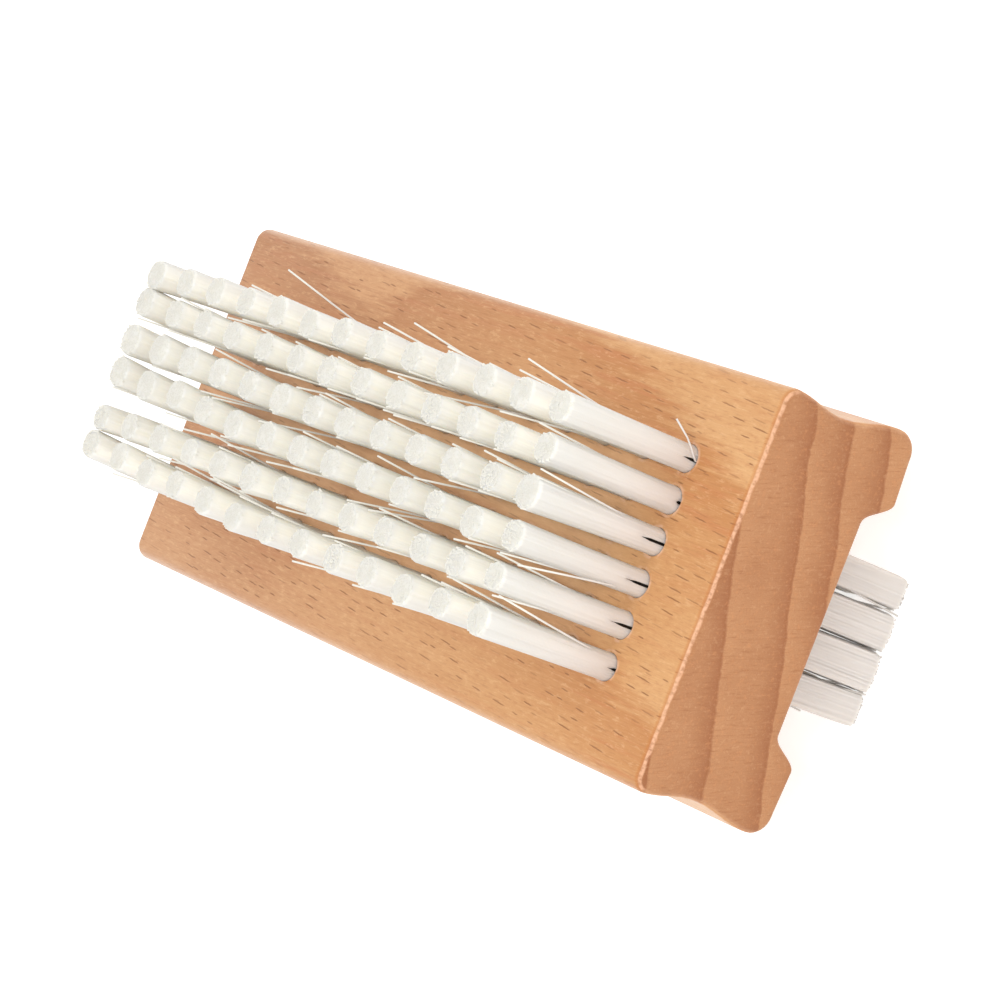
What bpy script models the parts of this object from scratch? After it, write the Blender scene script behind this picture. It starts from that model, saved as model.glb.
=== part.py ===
"""A two-sided wooden nail brush, in metres, +Z up.

One block of beech holds every tuft. Its upper face carries six rows of tufts and the channel
between its two feet carries four more, which point down. The brush stands on the tips of the
lower tufts, and the origin lies on that plane, under the middle of the block. X runs along the
block, Y across it.

A real tuft is a bundle of filaments folded over a flat metal anchor at the bottom of a drilled
hole. Here a few stout strands stand for each bundle. The strands of one row share a root strip,
which is a slice of the backing at the bottom of the holes, so that a row is one solid. The
anchors of one row are joined by thin links for the same reason. Both lie in a tunnel under the
holes, and the face of the wood shows only the round holes.
"""

import math
import random

import bmesh
import bpy
from mathutils import Vector

# Block
BLOCK_LENGTH = 0.0950
BLOCK_HEIGHT = 0.0174
TOP_WIDTH = 0.0394
TOP_CORNER_RADIUS = 0.0016
WAIST_WIDTH = 0.0378
WAIST_DEPTH = 0.0075
FLARE_WIDTH = 0.0403
FOOT_RADIUS = 0.0022
CHANNEL_DEPTH = 0.0029
CHANNEL_FLOOR_WIDTH = 0.0212
CHANNEL_MOUTH_WIDTH = 0.0268
END_EDGE_RADIUS = 0.0008

# Rows of tufts
UPPER_ROWS = 6
LOWER_ROWS = 4
ROW_PITCH = 0.00415
END_MARGIN = 0.0100
TUFT_PITCH = 0.00625

# Holes, and what lies under them
HOLE_DIAMETER = 0.0028
HOLE_DEPTH = 0.0060
ROOT_STRIP_HEIGHT = 0.0010
ANCHOR_HEIGHT = 0.0014
ANCHOR_THICKNESS = 0.0003
ANCHOR_LENGTH = 0.0030
ANCHOR_LINK_HEIGHT = 0.0005
TUNNEL_SIDE_MARGIN = 0.0002
GAP = 0.0003
CUT_OVERRUN = 0.0010
WELD_DISTANCE = 0.000001

# Bristles
UPPER_BRISTLE_LENGTH = 0.0162
LOWER_BRISTLE_LENGTH = 0.0162
TIP_DIAMETER = 0.0036
TIP_RAGGEDNESS = 0.0005
TIP_LEAN = 0.0002
FLOOR_TRIM = 0.0005
STRAND_SINK = 0.0003
MOUTH_CORNER_ANGLE = math.radians(52)
TIP_CORNER_ANGLE = math.radians(45)
MOUTH_INNER_SHARE = 0.30
TIP_INNER_SHARE = 0.25

# Which strands a tuft has: the side along the row, then the side of the anchor
UPPER_PATTERN = ((-1, -1), (1, -1), (-1, 1), (1, 1))
LOWER_PATTERN = ((0, -1), (-1, 1), (1, 1))

# Facets
CORNER_STEPS = 6
CURVE_STEPS = 8
HOLE_SIDES = 8
EDGE_SEGMENTS = 1
SMOOTH_ANGLE = math.radians(35)

# Heights of the faces that everything else stands on
CHANNEL_FLOOR_Z = LOWER_BRISTLE_LENGTH
FOOT_Z = CHANNEL_FLOOR_Z - CHANNEL_DEPTH
TOP_Z = FOOT_Z + BLOCK_HEIGHT

# Places along a row
ROW_SPAN = BLOCK_LENGTH - 2 * END_MARGIN
TUFT_COUNT = round(ROW_SPAN / TUFT_PITCH) + 1
TUFT_XS = [ROW_SPAN * (i / (TUFT_COUNT - 1) - 0.5) for i in range(TUFT_COUNT)]

# The tunnel under a row, measured from the face that the holes are drilled in
TUNNEL_WIDTH = HOLE_DIAMETER + 2 * TUNNEL_SIDE_MARGIN
TUNNEL_LENGTH = ROW_SPAN + TUNNEL_WIDTH + 2 * GAP
TUNNEL_HEIGHT = ROOT_STRIP_HEIGHT + ANCHOR_HEIGHT + 3 * GAP
TUNNEL_CEILING_Z = TUNNEL_HEIGHT - HOLE_DEPTH
ROOT_STRIP_Z = GAP - HOLE_DEPTH
ROOT_STRIP_TOP_Z = ROOT_STRIP_Z + ROOT_STRIP_HEIGHT
ANCHOR_Z = ROOT_STRIP_TOP_Z + GAP


def clear_scene():
    for item in list(bpy.data.objects):
        bpy.data.objects.remove(item, do_unlink=True)


def new_collection(name):
    collection = bpy.data.collections.new(name)
    bpy.context.scene.collection.children.link(collection)
    return collection


def new_material(name, colour, roughness, metallic=0.0):
    material = bpy.data.materials.new(name)
    material.use_nodes = True
    shader = material.node_tree.nodes["Principled BSDF"]
    shader.inputs["Base Color"].default_value = (*colour, 1.0)
    shader.inputs["Roughness"].default_value = roughness
    shader.inputs["Metallic"].default_value = metallic
    material.diffuse_color = (*colour, 1.0)
    return material


def new_object(name, mesh, collection, parent, material=None):
    item = bpy.data.objects.new(name, mesh)
    collection.objects.link(item)
    item.parent = parent
    if material:
        mesh.materials.append(material)
    return item


def mesh_from(name, bm):
    bmesh.ops.recalc_face_normals(bm, faces=bm.faces[:])
    mesh = bpy.data.meshes.new(name)
    bm.to_mesh(mesh)
    bm.free()
    return mesh


def as_cutter(item):
    item.display_type = "WIRE"
    item.hide_render = True
    return item


def add_boolean(item, operation, other):
    boolean = item.modifiers.new(other.name, "BOOLEAN")
    boolean.operation = operation
    boolean.solver = "EXACT"
    boolean.object = other


def add_block(bm, low, high):
    """A six-sided solid, from its lowest to its highest corner."""
    add_tapered_block(bm, (low, (high.x, high.y)), ((low.x, low.y), high))


def add_tapered_block(bm, foot, head):
    """A six-sided solid whose foot and head are level rectangles of their own."""
    corners = bmesh.ops.create_cube(bm, size=1)["verts"]
    (foot_low, foot_high), (head_low, head_high) = foot, head
    for corner in corners:
        upper = corner.co.z > 0
        low, high = (head_low, head_high) if upper else (foot_low, foot_high)
        corner.co = (
            high[0] if corner.co.x > 0 else low[0],
            high[1] if corner.co.y > 0 else low[1],
            head_high[2] if upper else foot_low[2],
        )


def row_places(count):
    """Where the rows of one face lie across the block, from its -Y side."""
    return [ROW_PITCH * (i - (count - 1) / 2) for i in range(count)]


def face_down(item, y):
    """Turns a row's piece over and sets it on the channel's floor."""
    item.location = (0, y, CHANNEL_FLOOR_Z)
    item.rotation_euler = (math.pi, 0, 0)


def face_up(item, y):
    """Sets a row's piece on the block's top face."""
    item.location = (0, y, TOP_Z)


def arc(centre_y, centre_z, radius, start, end):
    """Points of a round corner, the start left out because the last stretch ends there."""
    points = []
    for i in range(1, CORNER_STEPS + 1):
        angle = math.radians(start + (end - start) * i / CORNER_STEPS)
        points.append((centre_y + radius * math.cos(angle), centre_z + radius * math.sin(angle)))
    return points


def swell(start, end):
    """A side's stretch, upright at both ends, whose width eases from one to the other."""
    points = []
    for i in range(1, CURVE_STEPS + 1):
        share = i / CURVE_STEPS
        ease = (1 - math.cos(math.pi * share)) / 2
        points.append((start[0] + (end[0] - start[0]) * ease, start[1] + (end[1] - start[1]) * share))
    return points


def slope(start, end):
    """A stretch, level at both ends, whose height eases from one to the other."""
    turned = swell((start[1], start[0]), (end[1], end[0]))
    return [(y, z) for z, y in turned]


def block_outline():
    """The block's section, from its top middle round the +Y side, then round the -Y side."""
    top_corner_y = TOP_WIDTH / 2 - TOP_CORNER_RADIUS
    foot_corner_y = FLARE_WIDTH / 2 - FOOT_RADIUS
    side_top = (TOP_WIDTH / 2, TOP_Z - TOP_CORNER_RADIUS)
    waist = (WAIST_WIDTH / 2, TOP_Z - WAIST_DEPTH)
    flare = (FLARE_WIDTH / 2, FOOT_Z + FOOT_RADIUS)
    foot_inner = (CHANNEL_MOUTH_WIDTH / 2, FOOT_Z)
    floor_edge = (CHANNEL_FLOOR_WIDTH / 2, CHANNEL_FLOOR_Z)
    half = [(top_corner_y, TOP_Z)]
    half += arc(top_corner_y, TOP_Z - TOP_CORNER_RADIUS, TOP_CORNER_RADIUS, 90, 0)
    half += swell(side_top, waist)
    half += swell(waist, flare)
    half += arc(foot_corner_y, FOOT_Z + FOOT_RADIUS, FOOT_RADIUS, 0, -90)
    half.append(foot_inner)
    half += slope(foot_inner, floor_edge)
    return half + [(-y, z) for y, z in reversed(half)]


def drawn_solid(name, points, thickness, rotation):
    """A closed flat outline, drawn out to both sides of its plane and then turned."""
    outline = bpy.data.curves.new(name, "CURVE")
    outline.dimensions = "2D"
    outline.fill_mode = "BOTH"
    outline.extrude = thickness / 2
    spline = outline.splines.new("POLY")
    spline.points.add(len(points) - 1)
    for point, (across, up) in zip(spline.points, points):
        point.co = (across, up, 0, 1)
    spline.use_cyclic_u = True
    drawn = new_object(name, outline, bpy.context.scene.collection, None)
    drawn.rotation_euler = rotation
    bpy.context.view_layer.update()
    solid = bpy.data.meshes.new_from_object(drawn.evaluated_get(bpy.context.evaluated_depsgraph_get()))
    bm = bmesh.new()
    bm.from_mesh(solid)
    bmesh.ops.remove_doubles(bm, verts=bm.verts[:], dist=WELD_DISTANCE)
    for side in (1, -1):
        cap = [face for face in bm.faces if face.normal.z * side > 0.9]
        bmesh.ops.dissolve_faces(bm, faces=cap)
    bm.transform(drawn.matrix_world)
    bpy.data.objects.remove(drawn, do_unlink=True)
    bpy.data.meshes.remove(solid)
    return mesh_from(name, bm)


def make_block(collection, cutters, parent, material):
    """The wooden block: its section drawn out along X, end edges rounded, tunnels and holes cut."""
    turned = (math.pi / 2, 0, math.pi / 2)
    mesh = drawn_solid("wood_block", block_outline(), BLOCK_LENGTH, turned)
    mesh.shade_smooth()
    mesh.set_sharp_from_angle(angle=SMOOTH_ANGLE)
    block = new_object("wood_block", mesh, collection, parent, material)
    bevel = block.modifiers.new("end_edges", "BEVEL")
    bevel.width = END_EDGE_RADIUS
    bevel.segments = EDGE_SEGMENTS
    bevel.limit_method = "ANGLE"
    bevel.angle_limit = math.radians(60)
    bevel.use_clamp_overlap = False
    for side, rows, place in (("upper", UPPER_ROWS, face_up), ("lower", LOWER_ROWS, face_down)):
        for kind, cut in (("tunnels", tunnel_mesh(rows)), ("holes", hole_mesh(rows))):
            cutter = as_cutter(new_object(f"{side}_{kind}", cut, cutters, parent))
            place(cutter, 0)
            add_boolean(block, "DIFFERENCE", cutter)


def tunnel_mesh(rows):
    """One tunnel for each row of a face. It holds the row's root strip and its anchors."""
    bm = bmesh.new()
    for y in row_places(rows):
        low = Vector((-TUNNEL_LENGTH / 2, y - TUNNEL_WIDTH / 2, -HOLE_DEPTH))
        high = Vector((TUNNEL_LENGTH / 2, y + TUNNEL_WIDTH / 2, TUNNEL_CEILING_Z))
        add_block(bm, low, high)
    return mesh_from("tunnels", bm)


def hole_mesh(rows):
    """The drilled holes of a face, from the wood's surface down into the tunnels."""
    low = TUNNEL_CEILING_Z - GAP
    radius = HOLE_DIAMETER / 2 / math.cos(math.pi / HOLE_SIDES)
    bm = bmesh.new()
    for y in row_places(rows):
        for x in TUFT_XS:
            drilled = bmesh.ops.create_cone(
                bm,
                cap_ends=True,
                segments=HOLE_SIDES,
                radius1=radius,
                radius2=radius,
                depth=CUT_OVERRUN - low,
            )["verts"]
            bmesh.ops.translate(bm, verts=drilled, vec=(x, y, (CUT_OVERRUN + low) / 2))
    return mesh_from("holes", bm)


def spread(side, inner, outer):
    """The strand's stretch on one side of the tuft's middle, or across it where side is zero."""
    if side == 0:
        return -(outer - inner) / 2, (outer - inner) / 2
    return (inner, outer) if side > 0 else (-outer, -inner)


def strand_section(pattern, lean, z, length):
    """A strand's low and high corner in X and Y at one height. Z is zero at the hole's mouth."""
    share = z / length
    lean_share = (z - ROOT_STRIP_TOP_Z) / (length - ROOT_STRIP_TOP_Z)
    mouth_radius = HOLE_DIAMETER / 2 - GAP
    mouth_outer = Vector((math.cos(MOUTH_CORNER_ANGLE), math.sin(MOUTH_CORNER_ANGLE))) * mouth_radius
    mouth_inner = Vector((mouth_outer.x * MOUTH_INNER_SHARE, ANCHOR_THICKNESS / 2 + GAP))
    tip_outer = Vector((math.cos(TIP_CORNER_ANGLE), math.sin(TIP_CORNER_ANGLE))) * TIP_DIAMETER / 2
    tip_inner = tip_outer * TIP_INNER_SHARE
    outer = mouth_outer + (tip_outer - mouth_outer) * share
    inner = mouth_inner + (tip_inner - mouth_inner) * share
    along = spread(pattern[0], inner.x, outer.x)
    across = spread(pattern[1], inner.y, outer.y)
    return [Vector(corner) + lean * lean_share for corner in zip(along, across)]


def strand_mesh(length, patterns, ragged, seed):
    """The strands of one row, each from inside the root strip to its tip."""
    chance = random.Random(seed)
    foot_z = ROOT_STRIP_TOP_Z - STRAND_SINK
    bm = bmesh.new()
    for x in TUFT_XS:
        lean = Vector((chance.uniform(-TIP_LEAN, TIP_LEAN), chance.uniform(-TIP_LEAN, TIP_LEAN)))
        middle = Vector((x, 0))
        for pattern in patterns:
            tip_z = length - chance.uniform(0, ragged)
            foot_low, foot_high = strand_section(pattern, lean, foot_z, length)
            tip_low, tip_high = strand_section(pattern, lean, tip_z, length)
            foot = ((*(foot_low + middle), foot_z), foot_high + middle)
            head = (tip_low + middle, (*(tip_high + middle), tip_z))
            add_tapered_block(bm, foot, head)
    return mesh_from("strands", bm)


def make_bristle_row(name, strands, collection, cutters, parent, material):
    """One row: its root strip, with the row's strands joined to it."""
    length = TUNNEL_LENGTH - 2 * GAP
    width = TUNNEL_WIDTH - 2 * GAP
    bm = bmesh.new()
    low = Vector((-length / 2, -width / 2, ROOT_STRIP_Z))
    high = Vector((length / 2, width / 2, ROOT_STRIP_TOP_Z))
    add_block(bm, low, high)
    row = new_object(name, mesh_from(name, bm), collection, parent, material)
    bundle = as_cutter(new_object(f"{name}_strands", strands, cutters, row))
    add_boolean(row, "UNION", bundle)
    return row


def anchor_mesh():
    """One row's anchors: flat wire on edge in the fold of each tuft, joined by low links."""
    link = ANCHOR_Z + ANCHOR_LINK_HEIGHT
    top = ANCHOR_Z + ANCHOR_HEIGHT
    points = []
    for x in TUFT_XS:
        left = x - ANCHOR_LENGTH / 2
        right = x + ANCHOR_LENGTH / 2
        points += [(left, link), (left, top), (right, top), (right, link)]
    first_x, last_x = points[0][0], points[-1][0]
    points[0] = (first_x, ANCHOR_Z)
    points[-1] = (last_x, ANCHOR_Z)
    return drawn_solid("anchors", points, ANCHOR_THICKNESS, (math.pi / 2, 0, 0))


def make_floor_trim(cutters, parent):
    """The cut that levels the tips of the lower tufts where the brush stands on them."""
    depth = FLOOR_TRIM + CUT_OVERRUN
    low = Vector((-BLOCK_LENGTH / 2, -FLARE_WIDTH / 2, -depth))
    high = Vector((BLOCK_LENGTH / 2, FLARE_WIDTH / 2, 0))
    bm = bmesh.new()
    add_block(bm, low, high)
    return as_cutter(new_object("floor_trim", mesh_from("floor_trim", bm), cutters, parent))


def main():
    clear_scene()
    parts = new_collection("nail_brush")
    cutters = new_collection("cutters")
    beech = new_material("oiled_beech", (0.66, 0.37, 0.20), 0.45)
    nylon = new_material("white_nylon", (0.90, 0.88, 0.81), 0.40)
    steel = new_material("anchor_steel", (0.70, 0.69, 0.66), 0.35, 1.0)
    root = new_object("nail_brush", None, parts, None)

    make_block(parts, cutters, root, beech)
    floor_trim = make_floor_trim(cutters, root)
    anchors = anchor_mesh()
    anchors.materials.append(steel)

    for i, y in enumerate(row_places(UPPER_ROWS), start=1):
        strands = strand_mesh(UPPER_BRISTLE_LENGTH, UPPER_PATTERN, TIP_RAGGEDNESS, i)
        row = make_bristle_row(f"upper_bristle_row_{i}", strands, parts, cutters, root, nylon)
        face_up(row, y)
        face_up(new_object(f"upper_anchor_row_{i}", anchors, parts, root), y)

    for i, y in enumerate(row_places(LOWER_ROWS), start=1):
        seed = UPPER_ROWS + i
        strands = strand_mesh(LOWER_BRISTLE_LENGTH + FLOOR_TRIM, LOWER_PATTERN, 0, seed)
        row = make_bristle_row(f"lower_bristle_row_{i}", strands, parts, cutters, root, nylon)
        face_down(row, y)
        add_boolean(row, "DIFFERENCE", floor_trim)
        face_down(new_object(f"lower_anchor_row_{i}", anchors, parts, root), y)


main()
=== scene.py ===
"""The looks of the two-sided wooden nail brush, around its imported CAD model. Metres, +Z up.

The block is rebuilt with rounded edges, separate drilled holes and beech whose growth rings, rays
and vessels run through the wood in three dimensions. Every tuft is a packed bundle of nylon
filaments, folded over its own anchor, with free tips at its head. The brush stands on the tips of
its lower tufts, on a plain floor.
"""

import math
from functools import reduce

import bmesh
import bpy
import numpy as np
from mathutils import Matrix, Vector


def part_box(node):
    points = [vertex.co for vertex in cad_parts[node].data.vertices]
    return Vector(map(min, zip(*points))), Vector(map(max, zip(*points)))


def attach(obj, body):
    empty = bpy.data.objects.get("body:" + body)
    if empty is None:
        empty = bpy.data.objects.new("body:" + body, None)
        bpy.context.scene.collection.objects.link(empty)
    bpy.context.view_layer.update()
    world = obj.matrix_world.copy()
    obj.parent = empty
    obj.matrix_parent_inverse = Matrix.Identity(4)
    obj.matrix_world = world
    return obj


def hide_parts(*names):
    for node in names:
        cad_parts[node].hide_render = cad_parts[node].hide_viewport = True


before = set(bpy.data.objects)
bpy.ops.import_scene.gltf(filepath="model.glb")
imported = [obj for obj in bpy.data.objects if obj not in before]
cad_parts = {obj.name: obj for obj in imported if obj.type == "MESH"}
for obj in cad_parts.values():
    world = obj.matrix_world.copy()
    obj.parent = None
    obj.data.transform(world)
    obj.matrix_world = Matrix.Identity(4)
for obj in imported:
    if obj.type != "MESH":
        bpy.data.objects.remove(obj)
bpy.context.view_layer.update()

MM = 0.001

# Block, in millimetres, the same section as the CAD block's
TOP_WIDTH = 39.4
TOP_CORNER_RADIUS = 1.6
WAIST_WIDTH = 37.8
WAIST_DEPTH = 7.5
FLARE_WIDTH = 40.3
FOOT_RADIUS = 2.2
CHANNEL_DEPTH = 2.9
CHANNEL_FLOOR_WIDTH = 21.2
CHANNEL_MOUTH_WIDTH = 26.8
END_EDGE_RADIUS = 0.8
CHANNEL_EDGE_RADIUS = 0.3
EDGE_EASE = 4.0
FLAT_MARGIN = 0.3
CORNER_STEPS = 8
CURVE_STEPS = 12
END_STEPS = 5
BLOCK_SMOOTH_ANGLE = math.radians(35)

# Rows of tufts, in millimetres
UPPER_ROWS = 6
LOWER_ROWS = 4
ROW_PITCH = 4.15
TUFT_PITCH = 6.25
TUFT_COUNT = 13

# Holes and anchors, in millimetres
HOLE_RADIUS = 1.4
HOLE_DEPTH = 5.9
HOLE_SIDES = 24
HOLE_RIM = 0.07
CUTTER_OVERRUN = 0.4
ANCHOR_SIZE = (3.0, 0.3, 1.4)
ANCHOR_FOOT = 0.5
ANCHOR_EDGE = 0.06
ANCHOR_EDGE_STEPS = 2
ANCHOR_SMOOTH_ANGLE = math.radians(50)

# Tufts, in millimetres. A spread is a tuft's width at the tips, as a share of that at its root
BRISTLE_LENGTH = 16.2
BUNDLE_RADIUS = 1.27
UPPER_SPREADS = {1: 1.13, 2: 1.09, 3: 1.12, 4: 1.17, 5: 1.11, 6: 1.16}
FAR_SPREADS = {1: 0.04, 2: 0.02, 3: 0.20, 4: 0.16, 5: 0.08, 6: 0.04}
LOWER_SPREADS = {1: 1.30, 2: 1.52, 3: 1.44, 4: 1.27}
LOWER_LEANS = {1: -0.20, 2: 0.0, 3: 0.0, 4: 0.20}
UPPER_OPENING_POWER = 1.6
LOWER_OPENING_POWER = 8
LOWER_SLOW_OPENING = 0.2
UPPER_SQUARENESS = 0.15
LOWER_SQUARENESS = 0.70
LOWER_SQUARING = 4
LEAN_POWER = 1.4
FAR_LEAN_POWER = 1.5
SPREAD_JITTER = 0.03
UPPER_LEAN_JITTER = 0.10
LOWER_LEAN_JITTER = 0.05

# The fold and slit between a tuft's halves, in millimetres. FOLD_TONE marks points deep in it,
# which are painted near black as shade
FOLD_GAP = 0.16
FOLD_TOP = -0.5
FOLD_TONE = 2.0
SLIT_WIDTHS = (0.25, 0.6)
SLIT_HEIGHTS = (1.0, 3.6)
SLIT_NARROWING = 0.22
WIDEST_GAP_SHARE = 0.6
LEAST_WALL_SQUARE = 0.05
LEAST_REACH = 0.01

# Packed filaments of a tuft, in millimetres. Insets round off the head
PACKED_RADIUS = 1.32
ROOT_SWELL = 0.055
STRANDS = 42
STRAND_RELIEF = 0.020
NOTCH_DEPTH = 0.9
SEAM_SINE = 0.01
HEAD_RINGS = ((0.50, 0.0), (0.30, 0.04), (0.17, 0.12), (0.10, 0.30), (0.06, 0.60), (0.05, 1.0))
HEAD_INSETS = {BRISTLE_LENGTH - below: inset for below, inset in HEAD_RINGS}
PACKED_HEIGHTS = (-4.4, -0.6, 0.0, 0.5, 1.0, 1.6, 2.2, 2.9, 3.6, 6.0, 9.5, 13.0, *HEAD_INSETS)

# Single filaments, in millimetres
FILAMENT_RADIUS = 0.10
FILAMENT_SPACING = 0.212
FILAMENT_SIDES = 5
PLACE_JITTER = 0.012
WELD_DISTANCE = 1e-7

# Free tips at the head of a tuft, in millimetres
TIP_HEIGHTS = (13.2, 15.3, BRISTLE_LENGTH)
TIP_RADII = (0.10, 0.10, 0.112)
TIP_BUNDLE_SHARE = 0.90
TIP_LOOSENESS = 0.04
TIP_RAGGEDNESS = 0.05
WILD_SHARE = 0.06
WILD_FACTOR = 3.0
SPLAY_SHARE = 0.10
SPLAY_REACH = (0.06, 0.30)
SPLAY_RIM = (4, 2.8)
LEAST_OUT = 0.1
LONGEST_CUT = 3
RIM_CUT = 2

# Filaments that stray from their tuft, in millimetres
STRAY_HEIGHTS = (-4.4, 0.0, 3.2, 9.5, BRISTLE_LENGTH)
STRAY_ROOT_JITTER = 0.7
STRAY_ROOT_OUT = 0.75
STRAY_MOST_REACH = 6.0
STRAY_POWER = 1.1
FRAYED_SHARE = 0.45
FRAYED_REACH = (1.52, 1.95)
FRAYED_JITTER = 0.8

# How far the tips of each upper row lean across the block, at its far end, middle and near end
ROW_LEANS = {
    1: (0.85, -0.05, 0.0),
    2: (-0.20, -0.05, 0.0),
    3: (0.70, 0.0, 0.0),
    4: (0.30, 0.10, 0.0),
    5: (0.40, 0.05, 0.0),
    6: (-0.50, 0.0, 0.0),
}

# Filaments that stray from each upper row: where the tip ends up, as (x, y)
UPPER_STRAYS = {
    1: ((-21.1, -7.6), (-12.1, -7.8), (-11.2, -8.1), (27.0, -8.6), (32.0, -7.8), (39.2, -7.6)),
    2: ((-15.8, -3.8), (36.7, -4.1), (9.5, -8.8)),
    3: (
        (0.2, -0.2), (0.3, -0.7), (13.6, 0.2), (-21.1, -4.4), (-11.8, -4.2),
        (-4.3, -4.3), (11.4, -4.8), (15.2, -4.9), (29.8, -4.4), (40.1, -4.4),
    ),
    4: (
        (-20.9, 4.5), (0.5, 3.8), (29.2, 4.2), (38.3, 4.4),
        (-20.5, -0.1), (-18.0, -0.3), (-8.3, -0.8), (20.4, -0.5),
    ),
    5: ((35.5, 8.3), (1.1, 7.9), (-10.5, 4.4), (-4.2, 3.7), (13.6, 4.4)),
    6: (
        (-13.6, 14.6), (11.1, 13.4), (30.4, 13.5), (6.4, 12.5),
        (-21.0, 8.0), (9.8, 8.2), (16.7, 7.4), (29.2, 8.1),
    ),
}

# The same for the lower rows
LOWER_STRAYS = {
    1: ((37.9, -3.9), (39.1, -4.3), (38.4, -4.6), (31.0, -8.2), (0.6, -4.2), (-24.6, -8.2)),
    2: ((38.1, 0.1), (39.3, -0.3), (38.5, -4.2), (18.3, -4.1), (-12.9, 0.1), (-38.4, -4.0)),
    3: ((37.9, 4.3), (38.8, 0.2), (12.2, 0.1), (-5.4, 4.2), (-31.6, 0.0)),
    4: ((38.3, 4.4), (39.2, 4.0), (25.5, 4.2), (6.9, 8.3), (-19.2, 4.1), (-37.8, 8.2)),
}

# Short bent filaments of the upper rows, as points (x, y, height)
BENT_STRAYS = {
    6: (
        (38.75, 10.36, -1.0), (38.80, 10.40, 0.1), (38.95, 10.90, 0.75),
        (38.80, 11.39, 1.1), (38.72, 12.10, 1.9), (38.50, 13.30, 3.7),
    ),
}

# The slit of each upper row's nearest tuft, as (width, height)
NEAR_SLITS = {
    1: (0.24, 0.8), 2: (0.58, 2.3), 3: (0.60, 2.5), 4: (0.64, 2.8), 5: (0.30, 0.5), 6: (0.48, 1.5),
}

# Seeds of the chance in each row
ROW_SEED_STEP = 7
LOWER_SEED = 100

# Camera, in metres, degrees and millimetres
CAMERA_PLACE = (0.293345, -0.000459, 0.241510)
CAMERA_AIM = (0.012826, 0.000532, 0.030700)
CAMERA_ROLL = -68.673
CAMERA_LENS = 128.35
CAMERA_SENSOR = 36.0
CAMERA_CLIP = (0.01, 20.0)

# Stage, in metres and watts
FLOOR_REACH = 3.0
FLOOR_CELLS = 8
SKY_COLOUR = (1.0, 0.995, 0.985, 1.0)
SKY_STRENGTH = 0.83
KEY_PLACE = (0.68, 0.0, 0.83)
KEY_AIM = (0, 0, 0.03)
KEY_SIZE = (0.05, 0.50)
KEY_WATTS = 5.5

TUFT_XS = [TUFT_PITCH * (i - (TUFT_COUNT - 1) / 2) for i in range(TUFT_COUNT)]

block_low, block_high = (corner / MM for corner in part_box("wood_block"))
TOP_Z = block_high.z
FLOOR_Z = block_low.z + CHANNEL_DEPTH
HALF_LENGTH = block_high.x


def row_ys(count):
    return [ROW_PITCH * (i - (count - 1) / 2) for i in range(count)]


def add_object(name, data, *materials):
    item = bpy.data.objects.new(name, data)
    bpy.context.scene.collection.objects.link(item)
    for material in materials:
        data.materials.append(material)
    return item


def mesh_from(bm, name):
    mesh = bpy.data.meshes.new(name)
    bm.to_mesh(mesh)
    bm.free()
    return mesh


# ---- material graphs ----


def rgb(red, green, blue):
    return (red, green, blue, 1.0)


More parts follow.
